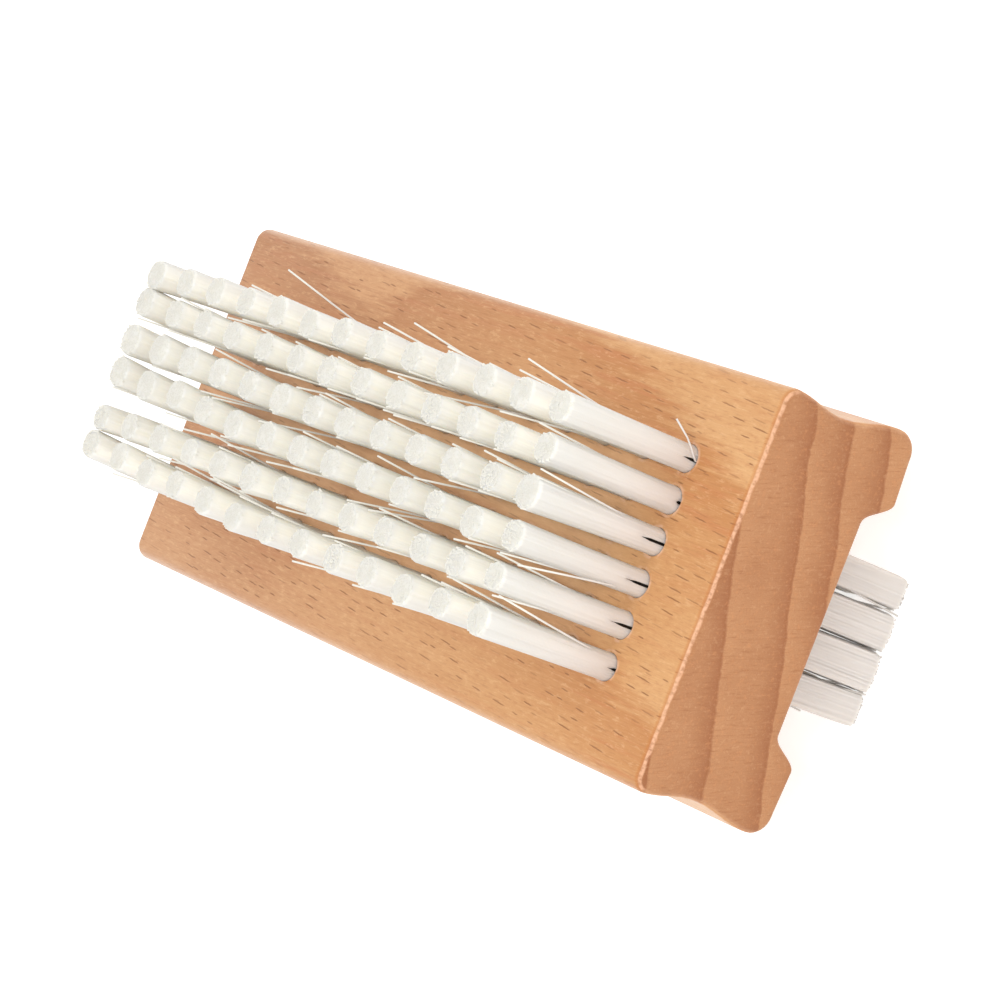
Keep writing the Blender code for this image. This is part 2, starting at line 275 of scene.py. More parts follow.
class Graph:
    """The nodes of one material, with short calls to make and join them."""

    def __init__(self, name):
        self.material = bpy.data.materials.new(name)
        self.material.use_nodes = True
        self.tree = self.material.node_tree
        self.shader = self.tree.nodes["Principled BSDF"]

    def node(self, kind, **settings):
        made = self.tree.nodes.new(kind)
        for name, value in settings.items():
            setattr(made, name, value)
        return made

    def put(self, value, socket):
        if isinstance(value, bpy.types.NodeSocket):
            self.tree.links.new(value, socket)
        else:
            socket.default_value = value

    def shade(self, **inputs):
        """Set inputs of the shader, by name with underscores for spaces."""
        for name, value in inputs.items():
            self.put(value, self.shader.inputs[name.replace("_", " ")])

    def math(self, operation, *values, clamp=False):
        made = self.node("ShaderNodeMath", operation=operation, use_clamp=clamp)
        for value, socket in zip(values, made.inputs):
            self.put(value, socket)
        return made.outputs[0]

    def add(self, a, b):
        return self.math("ADD", a, b)

    def subtract(self, a, b):
        return self.math("SUBTRACT", a, b)

    def divide(self, a, b):
        return self.math("DIVIDE", a, b)

    def times(self, *values):
        return reduce(lambda a, b: self.math("MULTIPLY", a, b), values)

    def absolute(self, value):
        return self.math("ABSOLUTE", value)

    def line(self, value, slope, start):
        return self.math("MULTIPLY_ADD", value, slope, start)

    def vector(self, operation, a, b):
        made = self.node("ShaderNodeVectorMath", operation=operation)
        self.put(a, made.inputs[0])
        self.put(b, made.inputs[1])
        return made.outputs["Value"] if operation == "DISTANCE" else made.outputs[0]

    def millimetres(self):
        place = self.node("ShaderNodeTexCoord").outputs["Object"]
        return self.vector("MULTIPLY", place, (1 / MM, 1 / MM, 1 / MM))

    def split(self, vector):
        made = self.node("ShaderNodeSeparateXYZ")
        self.put(vector, made.inputs[0])
        return made.outputs

    def join(self, x, y, z=0.0):
        made = self.node("ShaderNodeCombineXYZ")
        for value, socket in zip((x, y, z), made.inputs):
            self.put(value, socket)
        return made.outputs[0]

    def noise(self, vector, scale, detail=2.0, roughness=0.5):
        made = self.node("ShaderNodeTexNoise")
        self.put(self.vector("MULTIPLY", vector, scale), made.inputs["Vector"])
        made.inputs["Scale"].default_value = 1.0
        made.inputs["Detail"].default_value = detail
        made.inputs["Roughness"].default_value = roughness
        return made.outputs["Fac"]

    def wander(self, reach, vector, pattern):
        """Noise that wanders about zero."""
        return self.times(self.subtract(self.noise(vector, *pattern), 0.5), reach)

    def voronoi(self, vector, dimensions="3D"):
        made = self.node("ShaderNodeTexVoronoi", voronoi_dimensions=dimensions)
        self.put(vector, made.inputs["Vector"])
        made.inputs["Scale"].default_value = 1.0
        return made.outputs

    def ease(self, value, low, high, to_low=0.0, to_high=1.0):
        """A smooth step from to_low to to_high as the value goes from low to high."""
        made = self.node("ShaderNodeMapRange", interpolation_type="SMOOTHSTEP")
        for item, socket in zip((value, low, high, to_low, to_high), made.inputs):
            self.put(item, socket)
        return made.outputs[0]

    def mix(self, share, a, b):
        made = self.node("ShaderNodeMix", data_type="RGBA", blend_type="MIX", clamp_factor=True)
        self.put(share, made.inputs[0])
        self.put(a, made.inputs[6])
        self.put(b, made.inputs[7])
        return made.outputs[2]

    def tint(self, colour, value, span, shade, where=None):
        """Mix in a shade. A span is (low, high, share): the share grows as the value goes so."""
        low, high, most = span
        share = self.ease(value, low, high, 0.0, most)
        if where is not None:
            share = self.times(share, where)
        return self.mix(share, colour, shade)

    def curve(self, value, points):
        """A smooth curve through (place, height) points, with heights up to 1."""
        low, high = points[0][0], points[-1][0]
        share = self.math("DIVIDE", self.subtract(value, low), high - low, clamp=True)
        made = self.node("ShaderNodeFloatCurve")
        made.inputs["Factor"].default_value = 1.0
        self.put(share, made.inputs["Value"])
        line = made.mapping.curves[0]
        places = [((place - low) / (high - low), height) for place, height in points]
        line.points[0].location = places[0]
        line.points[1].location = places[-1]
        for place in places[1:-1]:
            line.points.new(*place)
        made.mapping.update()
        return made.outputs[0]

    def ramp(self, value, stops):
        made = self.node("ShaderNodeValToRGB")
        self.put(value, made.inputs[0])
        marks = made.color_ramp.elements
        while len(marks) < len(stops):
            marks.new(0.5)
        for mark, (place, shade) in zip(marks, stops):
            mark.position = place
            mark.color = rgb(shade, shade, shade)
        return made.outputs["Color"]

    def bump(self, height, distance):
        made = self.node("ShaderNodeBump")
        made.inputs["Distance"].default_value = distance
        made.inputs["Strength"].default_value = 1.0
        self.put(height, made.inputs["Height"])
        self.shade(Normal=made.outputs["Normal"])


# ---- beech ----

# Growth rings, in millimetres: their tilt, how far the dark edge of each lies above the top face,
# measured across the rings, and how they rise along the block, as (x, rise)
RING_TILT = math.radians(17.5)
RING_EDGES = (-18.8, -14.0, -9.4, -2.2, 4.6, 11.0)
RING_LOW, RING_HIGH = -22.0, 14.0
RING_RISE = (
    (-48, 3.8), (-40, 3.4), (-33, 2.9), (-23, 1.9), (-10, 3.9),
    (5, 4.5), (17, 3.6), (30, 2.2), (38, 1.3), (48, 0.0),
)
RISE_TOP = 6.0

# A ring's shades, as (distance past its dark edge, shade), and the last one past its fade
RING_FADE = 2.6
RING_END_MARGIN = 0.9
RING_ON_END = ((-0.06, 0.12), (0.10, 1.0), (0.5, 0.82)), (0.0, 0.34)
RING_ON_FACE = ((-0.8, 0.15), (0.3, 0.95), (1.1, 0.75)), (0.8, 0.30)
RING_FACE_STRENGTH = 0.92

# Patterns of noise, as (how fine it is along and across the grain, detail, roughness)
RING_SWAY = (0.05, 0.16, 0.10), 3.0, 0.6
RING_RAGGED = (0.5, 2.4, 1.2), 2.0
RING_DRAWN = (0.07, 1.1, 1.1), 4.0, 0.65
PATCHES = (0.035, 0.14, 0.14), 3.0, 0.55
VEINS = (0.06, 1.1, 1.1), 3.0, 0.6
END_LINES = (2.0, 4.5, 0.5), 4.0, 0.7
FLECKS = (0.75, 2.2, 2.2), 4.0, 0.7
HAIRS = (0.55, 7.0, 7.0), 3.0, 0.65
GRIT = (5.0, 5.5, 5.5), 2.0, 0.7
RAY_BENDS = (1.6, 1.6, 0.2), 1.0
RAY_GROUPS = (1, 0.5, 0.45), 1.0
BRINK_WEAR = (1, 0.7, 0.7), 3.0
# The next noise breaks up the painted highlight along the end edges
EDGE_HIGHLIGHT_NOISE = (2.2, 2.2, 2.2), 3.0
RIM_FIBRES = (1.1, 1.1, 1.1), 3.0

# How far these noises wander, in millimetres
SWAY_REACH = 1.5
RAGGED_REACH = 0.16
DRAWN_REACH = 3.2
RAY_BEND_REACH = 0.10
BRINK_REACH = 0.14

# Tints, as (low, high, share), for Graph.tint
FACE_PATCH_TINT = (0.35, 0.70, 0.30)
END_PATCH_TINT = (0.40, 0.75, 0.30)
DARK_LINE_TINT = (0.52, 0.70, 0.55)

# Steps, as (low, high) with where they lead, for Graph.ease
END_GRAIN = (0.55, 0.12)
FAR_WOOD = (44, -40)
VEIN_CORE = (0.50, 0.66)
VEIN_IN_RING = (0.35, 0.85, 0.25, 0.85)
RAY_OVAL = (1.25, 0.35)
RAY_CHANCE = (0.20, 0.90, 0.12, 0.85)
RAY_ON_END = (0.45, 0.7, 0.0, 0.5)
RAY_OFF_SIDES = (18.9, 18.2, 0.35, 1.0)
ABOVE_TOP = (-0.5, -0.2)
RUST_IN, RUST_OUT = (0.75, 0.45), (0.30, 0.40)
# Where the painted highlight along the end edges lies, and how it breaks up
EDGE_HIGHLIGHT_IN, EDGE_HIGHLIGHT_OUT = (0.40, 0.28), (0.06, 0.16)
EDGE_HIGHLIGHT_NEAR_TOP = (-1.8, -0.7, 0.15, 1.0)
EDGE_HIGHLIGHT_BREAKUP = (0.30, 0.62, 0.15, 1.0)
OVER_LOWER_ROWS = (8.6, 8.2)
DRILLED_LENGTH = (40.0, 39.6)
DRILLED_WIDTH = (12.7, 12.3)
RIM_REACH = (0.42, 0.16)
RIM_CHANCE = (0.38, 0.58)
# Where the painted light between the tufts lies
AMONG_ROWS = (12.8, 9.8)
AMONG_TUFTS = (39.0, 27.0)
WOOD_ROUGHNESS = (0.3, 0.7, 0.40, 0.52)
OIL_FILM = (0.45, 0.85, 0.04, 0.36)

# Shares of layers. A pair is for Graph.line, from the faces to the end grain
RUST_SHARE = 0.35
# The share of the painted highlight along the end edges
EDGE_HIGHLIGHT_SHARE = 0.70
RIM_SHARE = 0.60
# The share of the painted light between the tufts
GAP_PAINTED_LIGHT_SHARE = 0.34
MOSTLY_FACE = (-0.70, 1.0)
GRIT_SHARE = (0.34, 0.05)
DUST_SHARE = (0.36, 0.08)

# Cells and sizes of the rays, in millimetres
RAY_CELL = (2.7, 1.05)
RAY_SLANT = 0.075
RAY_HALF_LENGTH = 0.45
RAY_LENGTH_RANGE = 0.85
RAY_HALF_WIDTH = 0.075

# Dust in the end grain
DUST_SCALE = (0.7, 0.7, 0.7)
DUST_SPOT = (0.10, 0.05)
DUST_CHANCE = (0.86, 0.90)

# Colours of the wood. Pairs are for the near and the far end
PALE_WOOD = rgb(0.745, 0.435, 0.2), rgb(0.69, 0.375, 0.19)
DARK_WOOD = rgb(0.52, 0.215, 0.07), rgb(0.47, 0.215, 0.098)
VEIN_WOOD = rgb(0.56, 0.225, 0.085), rgb(0.53, 0.24, 0.115)
END_PALE = rgb(0.45, 0.218, 0.098)
END_DARK = rgb(0.275, 0.096, 0.034)
RAY_COLOUR = rgb(0.33, 0.135, 0.052)
RUST_COLOUR = rgb(0.42, 0.13, 0.03)
# Painted highlight along the rounded end edges
EDGE_HIGHLIGHT_COLOUR = rgb(0.83, 0.47, 0.29)
RAISED_FIBRE = rgb(0.8, 0.52, 0.36)
DUST_COLOUR = rgb(0.86, 0.6, 0.4)
# Painted light: paler wood between the tufts, lifting their shade
GAP_PAINTED_LIGHT = rgb(0.9, 0.6, 0.36)

# Tints with their colours
PALE_LINE = (0.46, 0.28, 0.24), rgb(0.6, 0.31, 0.15)
DARK_FLECK = (0.52, 0.70, 0.42), rgb(0.52, 0.225, 0.09)
PALE_FLECK = (0.47, 0.31, 0.38), rgb(0.8, 0.49, 0.26)
DARK_HAIR = (0.52, 0.76, 0.32), rgb(0.36, 0.15, 0.06)
PALE_HAIR = (0.47, 0.26, 0.26), rgb(0.84, 0.54, 0.29)
DARK_GRIT = (0.56, 0.74, 1.0), rgb(0.3, 0.115, 0.05)

END_ROUGHNESS = 0.10
HAIR_RELIEF, RAY_RELIEF, GRIT_RELIEF = 0.35, 0.5, 0.25
WOOD_BUMP = 0.00005


class Beech(Graph):
    """Beech as a solid. Each layer is laid over the colour of those before it."""

    def __init__(self, name):
        super().__init__(name)
        self.place = self.millimetres()
        self.x, self.y, z = self.split(self.place)
        self.depth = self.subtract(z, TOP_Z)
        cosine, sine = math.cos(RING_TILT), math.sin(RING_TILT)
        self.radial = self.subtract(self.times(self.depth, cosine), self.times(self.y, sine))
        self.tangent = self.add(self.times(self.depth, sine), self.times(self.y, cosine))
        self.along = self.join(self.x, self.tangent, self.radial)
        self.off_axis = self.absolute(self.x)
        self.off_middle = self.absolute(self.y)
        self.past_end = self.subtract(HALF_LENGTH, self.off_axis)
        self.end = self.ease(self.past_end, *END_GRAIN)
        self.face = self.subtract(1.0, self.end)
        self.mostly_face = self.line(self.end, *MOSTLY_FACE)
        self.brink = self.add(self.past_end, self.wander(BRINK_REACH, self.place, BRINK_WEAR))
        self.hair = self.noise(self.along, *HAIRS)
        self.grit = self.noise(self.along, *GRIT)

    def ring_shades(self, ring_place, after_edge, after_fade):
        stops = []
        for low, high in zip(RING_EDGES, RING_EDGES[1:]):
            fade = min(low + RING_FADE, high - RING_END_MARGIN)
            stops += [(low + past, shade) for past, shade in after_edge]
            stops.append((fade + after_fade[0], after_fade[1]))
        reach = RING_HIGH - RING_LOW
        share = self.divide(self.subtract(ring_place, RING_LOW), reach)
        return self.ramp(share, [((at - RING_LOW) / reach, shade) for at, shade in stops])

    def rings(self):
        """The shades of the growth rings: crisp on the end grain, soft on the long faces."""
        rise_shares = [(at, rise / RISE_TOP) for at, rise in RING_RISE]
        rise = self.times(self.curve(self.x, rise_shares), RISE_TOP)
        sway = self.wander(SWAY_REACH, self.along, RING_SWAY)
        ragged = self.wander(RAGGED_REACH, self.along, RING_RAGGED)
        drawn = self.wander(DRAWN_REACH, self.along, RING_DRAWN)
        blur = self.add(self.times(ragged, self.end), self.times(drawn, self.face))
        ring_place = self.add(self.add(self.radial, rise), self.add(sway, blur))
        return [self.ring_shades(ring_place, *shades) for shades in (RING_ON_END, RING_ON_FACE)]

    def grain(self):
        """The rings, with patches and veins along the faces and fine lines on the end grain."""
        ring_on_end, ring_on_face = self.rings()
        far = self.ease(self.x, *FAR_WOOD)
        pale, dark, vein_colour = (
            self.mix(far, *pair) for pair in (PALE_WOOD, DARK_WOOD, VEIN_WOOD)
        )
        patch = self.noise(self.along, *PATCHES)
        face = self.mix(self.times(ring_on_face, RING_FACE_STRENGTH), pale, dark)
        face = self.tint(face, patch, FACE_PATCH_TINT, dark)
        core = self.ease(self.noise(self.along, *VEINS), *VEIN_CORE)
        vein = self.times(core, self.ease(ring_on_face, *VEIN_IN_RING))
        face = self.mix(vein, face, vein_colour)
        cut = self.mix(ring_on_end, END_PALE, END_DARK)
        cut = self.tint(cut, patch, END_PATCH_TINT, END_DARK)
        lines = self.noise(self.along, *END_LINES)
        cut = self.tint(cut, lines, DARK_LINE_TINT, END_DARK)
        cut = self.tint(cut, lines, *PALE_LINE)
        return self.mix(self.end, face, cut)

    def flecks(self, colour):
        """Soft mottling, a little drawn out along the grain."""
        fleck = self.noise(self.along, *FLECKS)
        colour = self.tint(colour, fleck, *DARK_FLECK)
        return self.tint(colour, fleck, *PALE_FLECK, where=self.mostly_face)

    def vessels(self, colour):
        """Short pale and dark hairs along the grain, and a stipple on the end grain."""
        colour = self.tint(colour, self.hair, *DARK_HAIR)
        colour = self.tint(colour, self.hair, *PALE_HAIR, where=self.mostly_face)
        return self.tint(colour, self.grit, *DARK_GRIT, where=self.line(self.end, *GRIT_SHARE))

    def ray_shade(self):
        """Dark dashes on the long faces, and thin lines across the rings on the end grain."""
        slant = self.add(self.tangent, self.times(self.x, RAY_SLANT))
        scaled = self.join(self.divide(self.x, RAY_CELL[0]), self.divide(slant, RAY_CELL[1]))
        cell = self.voronoi(scaled, "2D")
        offset = self.split(self.vector("SUBTRACT", scaled, cell["Position"]))
        chance = self.split(cell["Color"])
        half_length = self.line(chance[0], RAY_LENGTH_RANGE, RAY_HALF_LENGTH)
        bend = self.wander(RAY_BEND_REACH, self.along, RAY_BENDS)
        across = self.add(self.times(offset[1], RAY_CELL[1]), bend)
        reach = self.divide(self.times(offset[0], RAY_CELL[0]), half_length)
        width = self.divide(across, RAY_HALF_WIDTH)
        oval = self.add(self.times(reach, reach), self.times(width, width))
        ray = self.times(self.ease(oval, *RAY_OVAL), self.ease(chance[1], *RAY_CHANCE))
        group = self.ease(self.noise(self.along, *RAY_GROUPS), *RAY_ON_END)
        return self.add(self.times(ray, self.face), self.times(ray, group, self.end))

    def rays(self, colour, ray):
        """The rays, fainter on the long sides."""
        on_top = self.ease(self.off_middle, *RAY_OFF_SIDES)
        return self.mix(self.times(ray, on_top), colour, RAY_COLOUR)

    def rust_and_edge_highlight(self, colour):
        """A painted highlight makes the softened edge of each end paler, with a thin rusty line
        under it.
        """
        rust = self.times(self.ease(self.brink, *RUST_IN), self.ease(self.brink, *RUST_OUT))
        colour = self.mix(self.times(rust, RUST_SHARE), colour, RUST_COLOUR)
        pale = self.times(
            self.ease(self.brink, *EDGE_HIGHLIGHT_IN),
            self.ease(self.brink, *EDGE_HIGHLIGHT_OUT),
            self.ease(self.depth, *EDGE_HIGHLIGHT_NEAR_TOP),
            self.ease(self.noise(self.place, *EDGE_HIGHLIGHT_NOISE), *EDGE_HIGHLIGHT_BREAKUP),
        )
        return self.mix(self.times(pale, EDGE_HIGHLIGHT_SHARE), colour, EDGE_HIGHLIGHT_COLOUR)

    def hole_rims(self, colour):
        """Raised pale fibres round the drilled holes."""
        from_row = self.math("WRAP", self.y, ROW_PITCH, 0.0)
        from_hole = self.join(self.math("WRAP", self.x, TUFT_PITCH / 2, -TUFT_PITCH / 2), from_row)
        from_rim = self.vector("DISTANCE", from_hole, (0, ROW_PITCH / 2, 0))
        from_rim = self.subtract(from_rim, HOLE_RADIUS)
        above = self.ease(self.depth, *ABOVE_TOP)
        drilled = self.times(
            self.math("MAXIMUM", above, self.ease(self.off_middle, *OVER_LOWER_ROWS)),
            self.ease(self.off_axis, *DRILLED_LENGTH),
            self.ease(self.off_middle, *DRILLED_WIDTH),
        )
        fibres = self.ease(self.noise(self.place, *RIM_FIBRES), *RIM_CHANCE)
        rim = self.times(self.ease(from_rim, *RIM_REACH), fibres)
        return self.mix(self.times(rim, drilled, RIM_SHARE), colour, RAISED_FIBRE)

    def dust(self, colour):
        """Tiny pale specks in the end grain."""
        speck = self.voronoi(self.vector("MULTIPLY", self.along, DUST_SCALE))
        chance = self.ease(self.split(speck["Color"])[0], *DUST_CHANCE)
        spot = self.times(self.ease(speck["Distance"], *DUST_SPOT), chance)
        share = self.line(self.end, *DUST_SHARE)
        return self.mix(self.times(spot, share), colour, DUST_COLOUR)

    def painted_light_between_tufts(self, colour):
        """Painted light: the wood between the tufts is paler, lifting the shade that they cast on
        it.
        """
        between = self.times(
            self.ease(self.depth, *ABOVE_TOP),
            self.ease(self.off_middle, *AMONG_ROWS),
            self.ease(self.off_axis, *AMONG_TUFTS),
        )
        return self.mix(self.times(between, GAP_PAINTED_LIGHT_SHARE), colour, GAP_PAINTED_LIGHT)


def make_beech():
    g = Beech("oiled_beech")
    ray = g.ray_shade()
    colour = g.vessels(g.flecks(g.grain()))
    colour = g.rust_and_edge_highlight(g.rays(colour, ray))
    colour = g.painted_light_between_tufts(g.dust(g.hole_rims(colour)))
    g.shade(
        Base_Color=colour,
        Roughness=g.add(g.ease(g.hair, *WOOD_ROUGHNESS), g.times(g.end, END_ROUGHNESS)),
        Specular_IOR_Level=0.25,
        Coat_Weight=g.ease(g.brink, *OIL_FILM),
        Coat_Roughness=0.20,
    )
    pits = g.add(g.times(ray, RAY_RELIEF), g.times(g.grit, GRIT_RELIEF))
    g.bump(g.subtract(g.times(g.hair, HAIR_RELIEF), pits), WOOD_BUMP)
    return g.material


# ---- nylon, steel and floor ----

# Colours of the nylon. Packed filaments also have a paler colour among other tufts, which is
# painted light, and one at the head, and the depth that light reaches in them, in millimetres
NYLON_LOOKS = {
    "upper_nylon": {
        # Painted light: the packed upper nylon is paler at the root than at the tip, lifting the
        # shade near the wood
        "root": rgb(0.71, 0.665, 0.625), "tip": rgb(0.66, 0.635, 0.595),
        "shade": rgb(0.6, 0.57, 0.53), "cut": rgb(0.65, 0.635, 0.6),
        "lit_among_tufts": rgb(0.925, 0.902, 0.825), "head": rgb(0.86, 0.842, 0.78),
        "depth": 1.4,
    },
    "upper_tip_nylon": {
        "root": rgb(0.76, 0.72, 0.685), "tip": rgb(0.74, 0.725, 0.675),
        "shade": rgb(0.72, 0.69, 0.64), "cut": rgb(0.8, 0.78, 0.71),
    },
    # Painted shade: the lower rows' nylon, packed and tips, is a darker copy of the upper rows',
    # for their shade under the block
    "lower_nylon_shaded": {
        "root": rgb(0.6, 0.56, 0.53), "tip": rgb(0.61, 0.575, 0.545),
        "shade": rgb(0.3, 0.275, 0.25), "cut": rgb(0.62, 0.59, 0.56),
        "lit_among_tufts": rgb(0.82, 0.785, 0.74), "head": rgb(0.76, 0.73, 0.68),
        "depth": 0.8,
    },
    "lower_tip_nylon_shaded": {
        "root": rgb(0.62, 0.575, 0.54), "tip": rgb(0.62, 0.585, 0.55),
        "shade": rgb(0.5, 0.455, 0.42), "cut": rgb(0.66, 0.63, 0.59),
    },
}
# Painted shade: near black deep in the fold between a tuft's halves
SLIT_PAINTED_SHADE = rgb(0.03, 0.024, 0.02)
NYLON_CLOUDS = (0.22, 0.22, 0.10), 2.0
NYLON_STREAKS = (7.0, 7.0, 0.3), 2.0
TONE_TINT = (0.2, 1.0, 0.10)
STREAK_TINT = (0.50, 0.75, 0.12)
CROWDED_STREAK_TINT = (0.48, 0.66, 0.50)
CROWDED_TONE_TINT = (0.3, 1.0, 0.35)
SLIT_SHADE_TONES = (1.1, FOLD_TONE)
NYLON_ROUGHNESS = (0.3, 0.7, 0.34, 0.44)
NYLON_BUMP = 0.00005

# Steps over the height of a tuft, and over the face, in millimetres
CLOUD_REACH = 8.0
ROOT_TO_TIP = (6.0, 18.0)
NEAR_CUT = (BRISTLE_LENGTH - 6.0, BRISTLE_LENGTH - 1.0)
NEAR_HEAD = (BRISTLE_LENGTH - 1.1, BRISTLE_LENGTH - 0.2)
ON_HEAD = (BRISTLE_LENGTH - 0.7, BRISTLE_LENGTH - 0.1, 0.0, 0.8)
FIBRES_SHOW = (9.5, 5.0, 0.14, 1.0)
RELIEF_SHOWS = (12.5, 8.0, 0.4, 1.0)
# Where the painted light among the tufts lies: behind the nearest tuft, less at the far end and in
# the outer rows
BEHIND_NEAR_TUFT = (38.9, 36.4)
FAR_CROWD = (-39.0, -26.0, 0.75, 1.0)
SIDE_CROWD = (11.6, 9.6, 0.2, 1.0)
LIGHT_RADIUS = (1.0, 0.95, 0.85)

# Steel and floor
STEEL_LINES = (0.6, 8.0, 8.0), 3.0
STEEL_STEP = (0.3, 0.7)
STEEL_ROUGHNESS = (0.28, 0.42)
STEEL_COLOURS = rgb(0.58, 0.57, 0.55), rgb(0.78, 0.77, 0.74)
FLOOR_CLOUDS = (0.004, 0.004, 0.004), 2.0
FLOOR_COLOURS = rgb(0.74, 0.74, 0.74), rgb(0.77, 0.77, 0.765)
FLOOR_GLOW = 0.55


def paint_light_among_tufts(g, look, place, height, tone, streak, colour):
    """Painted light: among other tufts the nylon gets a paler colour, as if light passed from one
    to the next.
    """
    x, y, _ = g.split(place)
    fibre = g.ease(height, *FIBRES_SHOW)
    inner = g.tint(look["lit_among_tufts"], streak, CROWDED_STREAK_TINT, look["shade"], fibre)
    inner = g.tint(inner, tone, CROWDED_TONE_TINT, look["shade"], fibre)
    inner = g.mix(g.ease(height, *NEAR_HEAD), inner, look["head"])
    among = g.times(
        g.ease(x, *BEHIND_NEAR_TUFT),
        g.ease(x, *FAR_CROWD),
        g.ease(g.absolute(y), *SIDE_CROWD),
    )
    return g.mix(g.ease(height, *ON_HEAD), g.mix(among, colour, inner), look["head"])


def make_nylon(name):
    look = NYLON_LOOKS[name]
    g = Graph(name)
    place = g.millimetres()
    from_middle = g.absolute(g.subtract(g.split(place)[2], (TOP_Z + FLOOR_Z) / 2))
    height = g.subtract(from_middle, (TOP_Z - FLOOR_Z) / 2)
    tone = g.node("ShaderNodeAttribute", attribute_name="tone").outputs["Fac"]
    cloud = g.noise(place, *NYLON_CLOUDS)
    streak = g.noise(place, *NYLON_STREAKS)
    tipward = g.ease(g.line(cloud, CLOUD_REACH, height), *ROOT_TO_TIP)
    colour = g.mix(tipward, look["root"], look["tip"])
    colour = g.tint(colour, tone, TONE_TINT, look["shade"])
    colour = g.tint(colour, streak, STREAK_TINT, look["shade"])
    colour = g.mix(g.ease(height, *NEAR_CUT), colour, look["cut"])
    if "lit_among_tufts" in look:
        colour = paint_light_among_tufts(g, look, place, height, tone, streak, colour)
        g.shade(
            Subsurface_Weight=1.0,
            Subsurface_Radius=LIGHT_RADIUS,
            Subsurface_Scale=look["depth"] * MM,
        )
    # The fold's deep points are painted near black, as shade
    g.shade(
        Base_Color=g.mix(g.ease(tone, *SLIT_SHADE_TONES), colour, SLIT_PAINTED_SHADE),
        Roughness=g.ease(streak, *NYLON_ROUGHNESS),
        Specular_IOR_Level=0.30,
    )
    g.bump(g.times(streak, g.ease(height, *RELIEF_SHOWS)), NYLON_BUMP)
    return g.material


def make_steel():
    g = Graph("anchor_steel")
    rolled = g.noise(g.millimetres(), *STEEL_LINES)
    g.shade(
        Base_Color=g.mix(g.ease(rolled, *STEEL_STEP), *STEEL_COLOURS),
        Roughness=g.ease(rolled, *STEEL_STEP, *STEEL_ROUGHNESS),
        Metallic=1.0,
    )
    return g.material


def make_floor_material():
    """A pale floor that glows a little, so that it shows hardly any shadow."""
    g = Graph("pale_floor")
    cloud = g.noise(g.millimetres(), *FLOOR_CLOUDS)
    g.shade(
        Base_Color=g.mix(cloud, *FLOOR_COLOURS),
        Roughness=0.9,
        Specular_IOR_Level=0.1,
        Emission_Color=rgb(1.0, 1.0, 1.0),
        Emission_Strength=FLOOR_GLOW,
    )
    return g.material


# ---- wooden block ----


def arc(centre_y, centre_z, radius, start, end):
    points = []
    for i in range(1, CORNER_STEPS + 1):
        angle = math.radians(start + (end - start) * i / CORNER_STEPS)
        points.append((centre_y + radius * math.cos(angle), centre_z + radius * math.sin(angle)))
    return points


def swell(start, end):
    """A smooth S from one point to the next, upright at both."""
    points = []
    for i in range(1, CURVE_STEPS + 1):
        share = i / CURVE_STEPS
        ease = (1 - math.cos(math.pi * share)) / 2
        across = start[0] + (end[0] - start[0]) * ease
        points.append((across, start[1] + (end[1] - start[1]) * share))
    return points


def slope(start, end):
    """A smooth S from one point to the next, level at both."""
    return [(y, z) for z, y in swell((start[1], start[0]), (end[1], end[0]))]


def block_outline():
    """The section in (y, z), from the top middle round the +Y side, then round the -Y side."""
    foot_z = FLOOR_Z - CHANNEL_DEPTH
    corner_y = TOP_WIDTH / 2 - TOP_CORNER_RADIUS
    foot_corner_y = FLARE_WIDTH / 2 - FOOT_RADIUS
    waist = (WAIST_WIDTH / 2, TOP_Z - WAIST_DEPTH)
    mouth = (CHANNEL_MOUTH_WIDTH / 2, foot_z)
    half = [(corner_y - FLAT_MARGIN, TOP_Z), (corner_y, TOP_Z)]
    half += arc(corner_y, TOP_Z - TOP_CORNER_RADIUS, TOP_CORNER_RADIUS, 90, 0)
    half += swell((TOP_WIDTH / 2, TOP_Z - TOP_CORNER_RADIUS), waist)
    half += swell(waist, (FLARE_WIDTH / 2, foot_z + FOOT_RADIUS))
    half += arc(foot_corner_y, foot_z + FOOT_RADIUS, FOOT_RADIUS, 0, -90)
    half += [(foot_corner_y - FLAT_MARGIN, foot_z), (mouth[0] + FLAT_MARGIN, foot_z), mouth]
    half += slope(mouth, (CHANNEL_FLOOR_WIDTH / 2, FLOOR_Z))
    half.append((CHANNEL_FLOOR_WIDTH / 2 - FLAT_MARGIN, FLOOR_Z))
    return half + [(-y, z) for y, z in reversed(half)]


def outward(points):
    """At each point of the outline, the way that leads out of it, longer where it turns."""
    before = points - np.roll(points, 1, axis=0)
    after = np.roll(points, -1, axis=0) - points
    before /= np.linalg.norm(before, axis=1)[:, None]
    after /= np.linalg.norm(after, axis=1)[:, None]
    ways = np.stack([-(before + after)[:, 1], (before + after)[:, 0]], axis=1)
    length = np.linalg.norm(ways, axis=1)[:, None]
    return ways / length * (2 / length)


def edge_radii(points):
    """The radius of the end edge at each point of the outline, less at the channel's mouth."""
    mouth_y, foot_z = CHANNEL_MOUTH_WIDTH / 2, FLOOR_Z - CHANNEL_DEPTH
    mouths = [(mouth_y, foot_z), (-mouth_y, foot_z)]
    near = np.min([np.linalg.norm(points - np.array(m), axis=1) for m in mouths], axis=0)
    more = (END_EDGE_RADIUS - CHANNEL_EDGE_RADIUS) * np.clip(near / EDGE_EASE, 0, 1)
    return CHANNEL_EDGE_RADIUS + more


def loft_walls(bm, rings):
    """Four-sided faces between each ring of vertices and the next."""
    count = len(rings[0])
    for a, b in zip(rings, rings[1:]):
        for i in range(count):
            j = (i + 1) % count
            bm.faces.new((a[i], a[j], b[j], b[i]))


